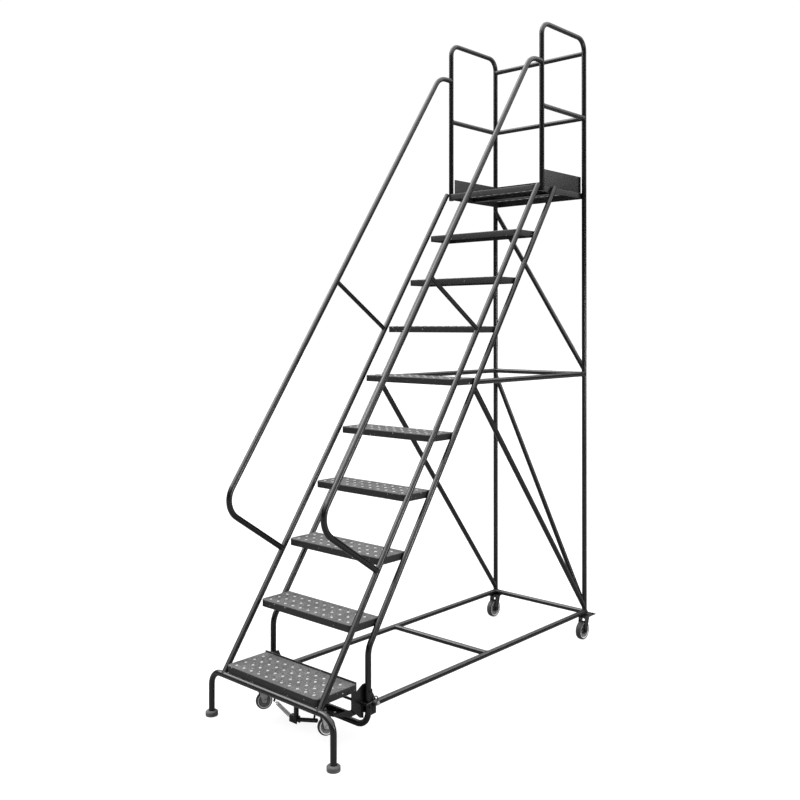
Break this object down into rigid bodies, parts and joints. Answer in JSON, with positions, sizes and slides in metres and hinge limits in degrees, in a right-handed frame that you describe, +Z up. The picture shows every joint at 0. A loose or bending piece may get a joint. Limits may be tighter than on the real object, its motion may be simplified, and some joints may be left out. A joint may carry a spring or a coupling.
{
  "type": "rolling library ladder",
  "caption": "Rolling steel library ladder with perforated steps, handrails, a railed platform, rear casters and a lock step.",
  "frame": {"origin": "on the floor, under the middle of the whole ladder's box", "axes": "+X to the climber's right, +Y the way the climber faces, +Z up"},
  "size_m": [0.857, 2.1505, 3.4295],
  "materials": {
    "tube_paint": "satin charcoal powder coat",
    "tread_paint": "satin grey powder coat",
    "foot_rubber": "matt",
    "wheel_rubber": "matt grey",
    "zinc": "zinc plated",
    "cap_plastic": "matt"
  },
  "bodies": {
    "frame": {"frame_bolts": "zinc", "front_leg_tube": "tube_paint", "rubber_foot_left": "foot_rubber", "rubber_foot_right": "foot_rubber", "front_stringer_left": "tube_paint", "rear_stringer_left": "tube_paint", "front_stringer_right": "tube_paint", "rear_stringer_right": "tube_paint", "lower_leg_loop": "tube_paint", "tread_1": "tread_paint", "tread_2": "tread_paint", "tread_3": "tread_paint", "tread_4": "tread_paint", "tread_5": "tread_paint", "tread_6": "tread_paint", "tread_7": "tread_paint", "tread_8": "tread_paint", "tread_9": "tread_paint", "platform_deck": "tread_paint", "toe_board_left": "tube_paint", "toe_board_right": "tube_paint", "toe_board_rear": "tube_paint", "rear_post_left": "tube_paint", "guard_rail_left": "tube_paint", "guard_mid_rail_left": "tube_paint", "rear_post_right": "tube_paint", "guard_rail_right": "tube_paint", "guard_mid_rail_right": "tube_paint", "guard_mid_rail_rear": "tube_paint", "guard_top_rail_rear": "tube_paint", "handrail_left": "tube_paint", "handrail_support_left": "tube_paint", "handrail_right": "tube_paint", "handrail_support_right": "tube_paint", "base_side_tube_left": "tube_paint", "base_side_tube_right": "tube_paint", "base_cross_tubes": "tube_paint", "mid_side_bars": "tube_paint", "side_diagonals": "tube_paint", "mid_rear_bar": "tube_paint", "rear_diagonals": "tube_paint", "side_bracket_left": "tube_paint", "side_bracket_right": "tube_paint", "rear_caster_forks": "tube_paint", "rear_caster_axles": "zinc", "center_post": "tube_paint", "yoke_spring": "zinc", "tube_caps": "cap_plastic"},
    "yoke": {"caster_yoke": "tube_paint", "front_caster_plates": "zinc"},
    "lock_bar": {"lock_bar": "tube_paint"},
    "release_rod": {"release_rod": "tube_paint"},
    "swivel_left": {"front_caster_fork_left": "zinc", "front_caster_axle_left": "zinc"},
    "front_wheel_left": {"front_wheel_left": "wheel_rubber"},
    "rear_wheel_left": {"rear_wheel_left": "wheel_rubber"},
    "swivel_right": {"front_caster_fork_right": "zinc", "front_caster_axle_right": "zinc"},
    "front_wheel_right": {"front_wheel_right": "wheel_rubber"},
    "rear_wheel_right": {"rear_wheel_right": "wheel_rubber"}
  },
  "joints": [
    {"name": "yoke_tilt", "type": "hinge", "parent": "frame", "child": "yoke", "pos_m": [0, -0.72102, 0.118], "axis": [1, 0, 0], "range_deg": [0, 17.8], "deforming": ["yoke_spring"]},
    {"name": "lock_bar_turn", "type": "hinge", "parent": "frame", "child": "lock_bar", "pos_m": [0, -0.88902, 0.044], "axis": [0, 1, 0], "range_deg": [0, 22.6]},
    {"name": "release_slide", "type": "slide", "parent": "frame", "child": "release_rod", "axis": [1, 0, 0], "range_m": [0, 0.012]},
    {"name": "swivel_turn_left", "type": "hinge", "parent": "yoke", "child": "swivel_left", "pos_m": [-0.204, -0.90882, 0.14153], "axis": [0, 0.3057, 0.9521], "continuous": true},
    {"name": "front_wheel_spin_left", "type": "hinge", "parent": "swivel_left", "child": "front_wheel_left", "pos_m": [-0.19555, -0.90899, 0.08172], "axis": [0.9063, -0.4024, 0.1292], "continuous": true},
    {"name": "rear_wheel_spin_left", "type": "hinge", "parent": "frame", "child": "rear_wheel_left", "pos_m": [-0.312, 0.99776, 0.0508], "axis": [1, 0, 0], "continuous": true},
    {"name": "swivel_turn_right", "type": "hinge", "parent": "yoke", "child": "swivel_right", "pos_m": [0.204, -0.90882, 0.14153], "axis": [0, 0.3057, 0.9521], "continuous": true},
    {"name": "front_wheel_spin_right", "type": "hinge", "parent": "swivel_right", "child": "front_wheel_right", "pos_m": [0.21245, -0.90899, 0.08172], "axis": [0.9063, -0.4024, 0.1292], "continuous": true},
    {"name": "rear_wheel_spin_right", "type": "hinge", "parent": "frame", "child": "rear_wheel_right", "pos_m": [0.312, 0.99776, 0.0508], "axis": [1, 0, 0], "continuous": true}
  ],
  "couplings": [
    {"joint": "lock_bar_turn", "follows": "yoke_tilt", "ratio": 1.264},
    {"joint": "release_slide", "follows": "yoke_tilt", "m_per_rad": 0.0383}
  ]
}
